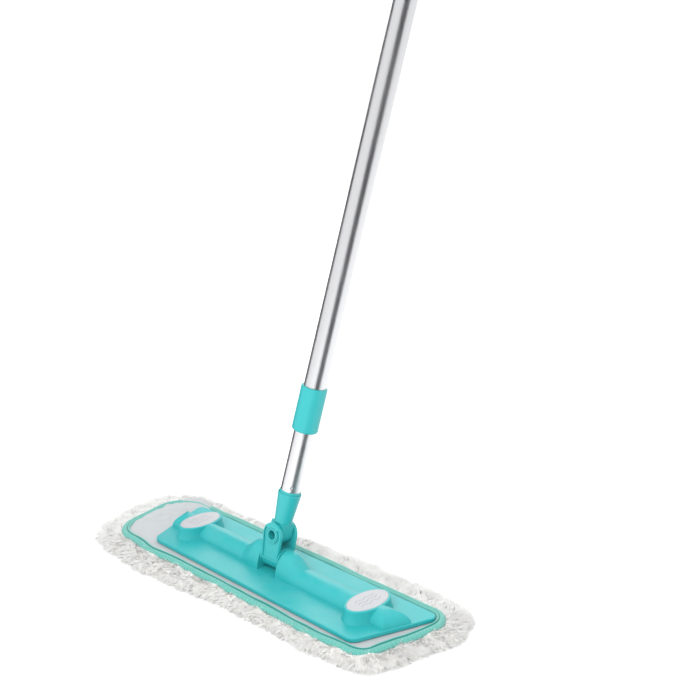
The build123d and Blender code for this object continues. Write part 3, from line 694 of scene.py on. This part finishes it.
pile = {
    # how far it spreads past the tape: the pad sits askew, so the long sides change along X
    "left": 0.039, "right": 0.023,
    "frontLeft": 0.029, "frontRight": 0.0155, "frontChange": (-0.09, 0.02),
    "rearLeft": 0.022, "rearRight": 0.040, "rearChange": (-0.12, 0.06),
    "strandReach": 0.0062,      # the bed stops this far short, and the strands go on
    "bedHeight": 0.0088,
    "roundness": 0.72,          # of the bed's section, where 1 is an ellipse
    "underLevel": 0.0026,
    "rows": 520, "columns": 22,
    "hill": 0.0014,
    "edgeWave": 0.0022,
    "strands": 38000,
    "underStrands": 26000,
    "strandLength": (0.0055, 0.0092),
    "strandWidth": 0.00044,
    "spread": 0.24,             # each strand's own scatter, and what neighbours share
    "sharedLean": 0.24,
    "leanSize": 0.013,
    "droop": (0.12, 0.42),      # at the tape and at the outer edge, as a share of the length
    "arch": 0.16,
    "tipScatter": 0.0006,
    "underLength": (0.005, 0.009),
    "underDrop": 0.0022,
    "underSwirl": 0.014,
    "underTuft": 0.007,
    "underGather": 0.6,
    "underWider": 1.7,
    "tuftSpacing": 0.0042,
    "gather": 0.22,
}


def fringeWidth(loop, normals):
    side = np.where(normals[:, 0] < 0, pile["left"], pile["right"])
    front = np.interp(loop[:, 0], pile["frontChange"], (pile["frontLeft"], pile["frontRight"]))
    rear = np.interp(loop[:, 0], pile["rearChange"], (pile["rearLeft"], pile["rearRight"]))
    end = np.where(normals[:, 1] < 0, front, rear)
    return side * normals[:, 0] ** 2 + end * normals[:, 1] ** 2


def bedGrid():
    # the pile's thick base: from under the tape, over the top and round the edge to the floor
    rows, columns = pile["rows"], pile["columns"]
    loop = padLoop(rows)
    normals = outward(loop)
    turns = np.arange(rows) / rows
    reach = fringeWidth(loop, normals) - pile["strandReach"]
    reach = reach + pile["edgeWave"] * ripple(turns, (13, 21, 34, 55, 71), 41)
    angle = np.linspace(math.pi / 2, 0.06, columns - 3)
    out = np.concatenate([[-0.007, -0.004, -0.001], np.zeros(columns - 3)])[None, :] * np.ones((rows, 1))
    out[:, 3:] = reach[:, None] * np.cos(angle)[None, :] ** pile["roundness"]
    up = np.concatenate([[1.0, 1.0, 1.0], np.sin(angle) ** pile["roundness"]])[None, :] * np.ones((rows, 1))
    up *= pile["bedHeight"]
    x = loop[:, 0:1] + normals[:, 0:1] * out
    y = loop[:, 1:2] + normals[:, 1:2] * out
    up += pile["hill"] * lumps(x, y, 0.024, 43) * (up / pile["bedHeight"])
    up = np.maximum(up, 0.0012)
    return np.stack([x, y, up], axis=-1), normals


def strandMesh(name, roots, tips, bends, sideways, widths, shading, material):
    # each strand is a tapered ribbon of three lengths; bends is the middle control point
    count = len(roots)
    rows = []
    for share, wide in ((0.0, 1.0), (0.4, 0.9), (0.75, 0.65)):
        middle = roots * (1 - share) ** 2 + bends * 2 * share * (1 - share) + tips * share ** 2
        rows.append(middle - sideways * (widths * wide / 2)[:, None])
        rows.append(middle + sideways * (widths * wide / 2)[:, None])
    rows.append(tips)
    points = np.stack(rows, axis=1)
    points[..., 2] = np.maximum(points[..., 2], 0.0003)
    start = np.arange(count)[:, None] * 7
    quads = np.concatenate([start + np.array([[0, 1, 3, 2]]), start + np.array([[2, 3, 5, 4]])])
    ends = start + np.array([[4, 5, 6]])
    faces = quads.tolist() + ends.tolist()
    piece = newPiece(name, points, faces, material, "pad")
    giveAttribute(piece, "strandTip", np.tile([0.0, 0.0, 0.4, 0.4, 0.75, 0.75, 1.0], (count, 1)))
    piece.data.normals_split_custom_set_from_vertices(np.repeat(shading, 7, axis=0).tolist())
    return piece


def gatherTips(roots, tips, spacing, gather, dice):
    # strands lean together into tufts round randomly chosen ones
    cells = {}
    for index in dice.permutation(len(roots)):
        cells.setdefault(tuple((roots[index] / spacing).astype(int)), index)
    centres = list(cells.values())
    tree = kdtree.KDTree(len(centres))
    for number, index in enumerate(centres):
        tree.insert(roots[index], number)
    tree.balance()
    nearest = np.array([centres[tree.find(root)[1]] for root in roots])
    share = gather * dice.uniform(0.5, 1.15, len(roots))[:, None]
    return tips * (1 - share) + tips[nearest] * share


def buildPile():
    grid, normals = bedGrid()
    rows, columns = grid.shape[:2]
    under = []
    loop = padLoop(rows)
    for share in (0.97, 0.8, 0.4, 0.0):
        ring = grid[:, -1].copy()
        spine = np.stack([np.clip(ring[:, 0], -0.18, 0.14), np.zeros(rows)], axis=1)
        ring[:, :2] = spine + (ring[:, :2] - spine) * share
        ring[:, 2] = pile["underLevel"] + 0.0005 * lumps(ring[:, 0], ring[:, 1], 0.02, 47)
        under.append(ring)
    full = np.concatenate([grid, np.stack(under, axis=1)], axis=1)
    faces = gridFaces(rows, full.shape[1], True, False)
    bed = newPiece("pileBed", full, faces[:, ::-1], pileMaterial("pileBase", 0.15), "pad")
    # the bed takes the beige root tones, painted shade under the strands
    giveAttribute(bed, "strandTip", np.full(full.shape[0] * full.shape[1], 0.1))
    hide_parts("pad_pile")

    dice = np.random.default_rng(7)
    alongVectors = np.roll(grid, -1, axis=0) - grid
    acrossVectors = np.diff(grid, axis=1)
    cellNormal = np.cross(alongVectors[:, :-1], acrossVectors)
    cellArea = np.linalg.norm(cellNormal, axis=-1)
    cellNormal = -cellNormal / np.maximum(cellArea, 1e-12)[..., None]
    weight = cellArea.copy()
    weight[:, :2] *= 0.25       # mostly under the tape
    chosen = dice.choice(weight.size, pile["strands"], p=(weight / weight.sum()).ravel())
    row, column = np.unravel_index(chosen, weight.shape)
    slide, drop = dice.random((2, len(chosen)))
    roots = grid[row, column] + alongVectors[row, column] * slide[:, None]
    roots = roots + acrossVectors[row, column] * drop[:, None]
    normal = cellNormal[row, column]
    outAndUp = np.column_stack([normals[row], np.full(len(row), 0.5)])
    normal *= np.sign(np.sum(normal * outAndUp, axis=1))[:, None]
    out = np.column_stack([normals[row], np.zeros(len(row))])
    edge = (column + drop) / (columns - 1)
    length = dice.uniform(*pile["strandLength"], len(row)) * (1 - 0.25 * (edge < 0.25))
    rootX, rootY = roots[:, 0], roots[:, 1]
    lean = np.column_stack([lumps(rootX, rootY, pile["leanSize"], 51 + axis) for axis in range(3)])
    direction = normal * (0.55 + 0.35 * edge[:, None]) + out * (0.55 + 0.5 * edge[:, None])
    direction += lean * pile["sharedLean"] + dice.normal(0, pile["spread"], (len(row), 3))
    direction[:, 2] = np.minimum(direction[:, 2], 0.62)
    direction /= np.linalg.norm(direction, axis=1)[:, None]
    tips = roots + direction * length[:, None]
    tips[:, 2] -= length * (pile["droop"][0] + pile["droop"][1] * edge ** 2)
    tips = gatherTips(roots, tips, pile["tuftSpacing"], pile["gather"], dice)
    tips += dice.normal(0, pile["tipScatter"], tips.shape)
    bends = (roots + tips) / 2 + normal * (length * pile["arch"])[:, None]
    facing = normal + np.array([0, 0, 0.4]) + dice.normal(0, 0.35, normal.shape)
    sideways = np.cross(tips - roots, facing)
    sideways /= np.linalg.norm(sideways, axis=1)[:, None]
    shading = normal * 0.45 + direction * 0.1 + np.array([0, 0, 0.9])
    shading /= np.linalg.norm(shading, axis=1)[:, None]
    widths = pile["strandWidth"] * dice.uniform(0.7, 1.3, len(row))
    strandMaterial = pileMaterial("pileStrands")
    strandMesh("pileFringe", roots, tips, bends, sideways, widths, shading, strandMaterial)

    # the working side, seen when the pad is lifted or turned over
    count = pile["underStrands"]
    low, high = loop.min(axis=0) - 0.03, loop.max(axis=0) + 0.03
    spots = dice.uniform(low, high, (count * 3, 2))
    nearest = kdtree.KDTree(rows)
    for number, point in enumerate(grid[:, -1]):
        nearest.insert((point[0], point[1], 0), number)
    nearest.balance()
    keep = []
    for spot in spots:
        number = nearest.find((spot[0], spot[1], 0))[1]
        if np.dot(spot - grid[number, -1, :2], normals[number]) < -0.001:
            keep.append(spot)
        if len(keep) == count:
            break
    keep = np.array(keep)
    roots = np.column_stack([keep, np.full(len(keep), pile["underLevel"] + 0.0004)])
    spread = np.column_stack([lumps(keep[:, 0], keep[:, 1], pile["underSwirl"], seed) for seed in (61, 62)])
    spread = spread * 0.8 + dice.normal(0, 0.5, keep.shape)
    length = dice.uniform(*pile["underLength"], len(keep))
    tips = roots + np.column_stack([spread * length[:, None], np.full(len(keep), -pile["underDrop"])])
    tips = gatherTips(roots, tips, pile["underTuft"], pile["underGather"], dice)
    bends = (roots + tips) / 2 + np.array([0, 0, -0.0012])
    sideways = np.cross(tips - roots, np.array([0, 0, -1.0]) + dice.normal(0, 0.3, tips.shape))
    sideways /= np.linalg.norm(sideways, axis=1)[:, None]
    widths = pile["strandWidth"] * pile["underWider"] * dice.uniform(0.7, 1.3, len(keep))
    shading = np.tile([0.0, 0.0, -1.0], (len(keep), 1)) + dice.normal(0, 0.25, (len(keep), 3))
    shading /= np.linalg.norm(shading, axis=1)[:, None]
    strandMesh("pileUnderside", roots, tips, bends, sideways, widths, shading, strandMaterial)
    print("pile made:", pile["strands"], "strands")


def buildStudio():
    world = bpy.data.worlds.new("studio")
    world.use_nodes = True
    world.node_tree.nodes["Background"].inputs["Color"].default_value = (1, 1, 1, 1)
    world.node_tree.nodes["Background"].inputs["Strength"].default_value = studio["worldStrength"]
    bpy.context.scene.world = world
    bpy.context.scene.view_settings.view_transform = "Standard"
    key = areaLight("keyLight", studio["keyPlace"], studio["keyTarget"], studio["keySize"],
                    studio["keyPower"])
    key.visible_glossy = False
    panel = areaLight("backPanel", studio["backPlace"], studio["backTarget"], studio["backSize"],
                      studio["backPower"])
    panel.visible_camera = False
    half = studio["floorHalf"]
    corners = [(-half, -half, 0), (half, -half, 0), (half, half, 0), (-half, half, 0)]
    stagePiece("floor", corners, [(0, 1, 2, 3)], floorMaterial())
    for number, (side, halfWidth, near, far, height) in enumerate(studio["cards"]):
        corners = []
        for distance, up in ((near, studio["cardLift"]), (far, studio["cardLift"]), (far, height)):
            for edge in (-halfWidth, halfWidth):
                angle = math.radians(camera["yaw"] + 180 - side + edge)
                corners.append((math.sin(angle) * distance, math.cos(angle) * distance, up))
        card = stagePiece(f"card{number + 1}", corners, [(0, 1, 3, 2), (2, 3, 5, 4)], cardMaterial())
        card.visible_camera = False
        card.visible_diffuse = False
        card.visible_shadow = False
        card.visible_transmission = False


def stagePiece(name, corners, faces, material):
    mesh = bpy.data.meshes.new(name)
    mesh.from_pydata(corners, [], faces)
    mesh.materials.append(material)
    made = bpy.data.objects.new(name, mesh)
    bpy.context.scene.collection.objects.link(made)
    return made


buildCamera()
buildStudio()
print("studio made")

aquaPlastic = mouldedPlastic("aquaPlastic", plasticLook["aqua"], plasticLook["aquaThin"],
                             plasticLook["roughness"], 0.5, 0.05)
darkPlastic = mouldedPlastic("darkPlastic", (0.04, 0.045, 0.05), (0.12, 0.12, 0.12), 0.45, 0.4, 0.1)
badgePlastic = rippleBadge()
aluminium = satinAluminium()
steel = plainSteel()
hooks = hookTapeMaterial()

finishes = {
    "mop_plate": aquaPlastic, "yoke": aquaPlastic, "socket_pin": aquaPlastic, "socket_pin_cap": aquaPlastic,
    "handle_socket": aquaPlastic, "ferrule": aquaPlastic, "tube_collar": aquaPlastic, "grip": aquaPlastic,
    "end_cap": aquaPlastic,
    "badge_left": badgePlastic, "badge_right": badgePlastic,
    "lower_tube": aluminium, "upper_tube": aluminium,
    "pivot_pin": steel, "keeper_screws": steel, "spindle_clip": steel,
    "pin_keeper_left": darkPlastic, "pin_keeper_right": darkPlastic, "expander_plug": darkPlastic,
    "expander_sleeve": darkPlastic, "expander_cone": darkPlastic, "guide_bush": darkPlastic,
    "hook_strip_front": hooks, "hook_strip_rear": hooks,
}
for name, material in finishes.items():
    nodes[name].data.materials.clear()
    nodes[name].data.materials.append(material)
print("finishes placed")

tapePiece = buildTape()
backingPiece = buildBacking()
waddingPiece = buildWadding()
buildPile()
